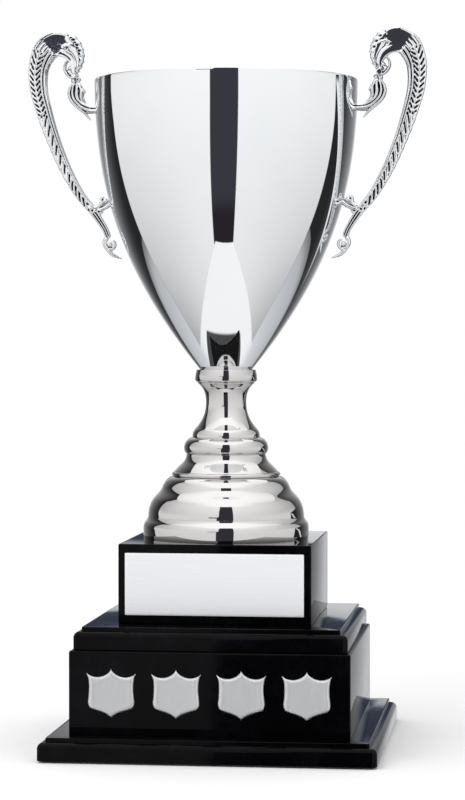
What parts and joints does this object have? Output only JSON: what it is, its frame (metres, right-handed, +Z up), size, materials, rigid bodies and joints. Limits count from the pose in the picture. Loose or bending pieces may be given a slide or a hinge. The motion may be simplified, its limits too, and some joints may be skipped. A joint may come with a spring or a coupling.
{
  "type": "cup trophy",
  "caption": "Tall loving-cup trophy with cast scroll handles on a turned stem and foot, bolted to a stepped black lacquered base with blank engraving plates.",
  "frame": {"origin": "centre of the felt's underside, on the surface that the trophy stands on", "axes": "+Z up along the tie rod, -Y is the front that carries the header plate and year shields, +X to the right handle"},
  "size_m": [0.2922, 0.236, 0.5185],
  "materials": {
    "plated_bowl": "mirror-bright silver plate on spun brass",
    "plated_handle": "bright plate on a casting, darker in its cut relief",
    "plated_stem": "mirror-bright nickel plate",
    "zinc_steel": "bright zinc",
    "yellow_zinc_screws": "yellow passivated",
    "black_lacquer": "high-gloss black lacquer on fibreboard",
    "bare_wood": "sawn, unfinished",
    "moulded_insert": "moulded natural",
    "header_plate": "bright satin, anodised",
    "year_shields": "satin with burnished bevel",
    "adhesive_tape": "foam tape",
    "felt": "pressed wool felt"
  },
  "bodies": {
    "root": {"bowl": "plated_bowl", "handle_left": "plated_handle", "handle_right": "plated_handle", "bowl_collar": "plated_stem", "stem_neck": "plated_stem", "stem_knop": "plated_stem", "stem_cone": "plated_stem", "stem_ring": "plated_stem", "foot_dome": "plated_stem", "foot_rim": "plated_stem", "handle_screws": "zinc_steel", "handle_washers": "zinc_steel", "tie_rod": "zinc_steel", "bowl_nut": "zinc_steel", "bowl_washer": "zinc_steel", "base_nut": "zinc_steel", "base_washer": "zinc_steel", "block_screws": "yellow_zinc_screws", "base_screws": "yellow_zinc_screws", "upper_block": "black_lacquer", "plinth_cap": "black_lacquer", "plinth_front": "black_lacquer", "plinth_back": "black_lacquer", "plinth_left": "black_lacquer", "plinth_right": "black_lacquer", "base_board": "black_lacquer", "corner_blocks": "bare_wood", "cap_dowels": "bare_wood", "foot_insert": "moulded_insert", "header_plate": "header_plate", "year_shield_1": "year_shields", "year_shield_2": "year_shields", "year_shield_3": "year_shields", "year_shield_4": "year_shields", "header_plate_tape": "adhesive_tape", "shield_tapes": "adhesive_tape", "base_felt": "felt"}
  },
  "joints": []
}
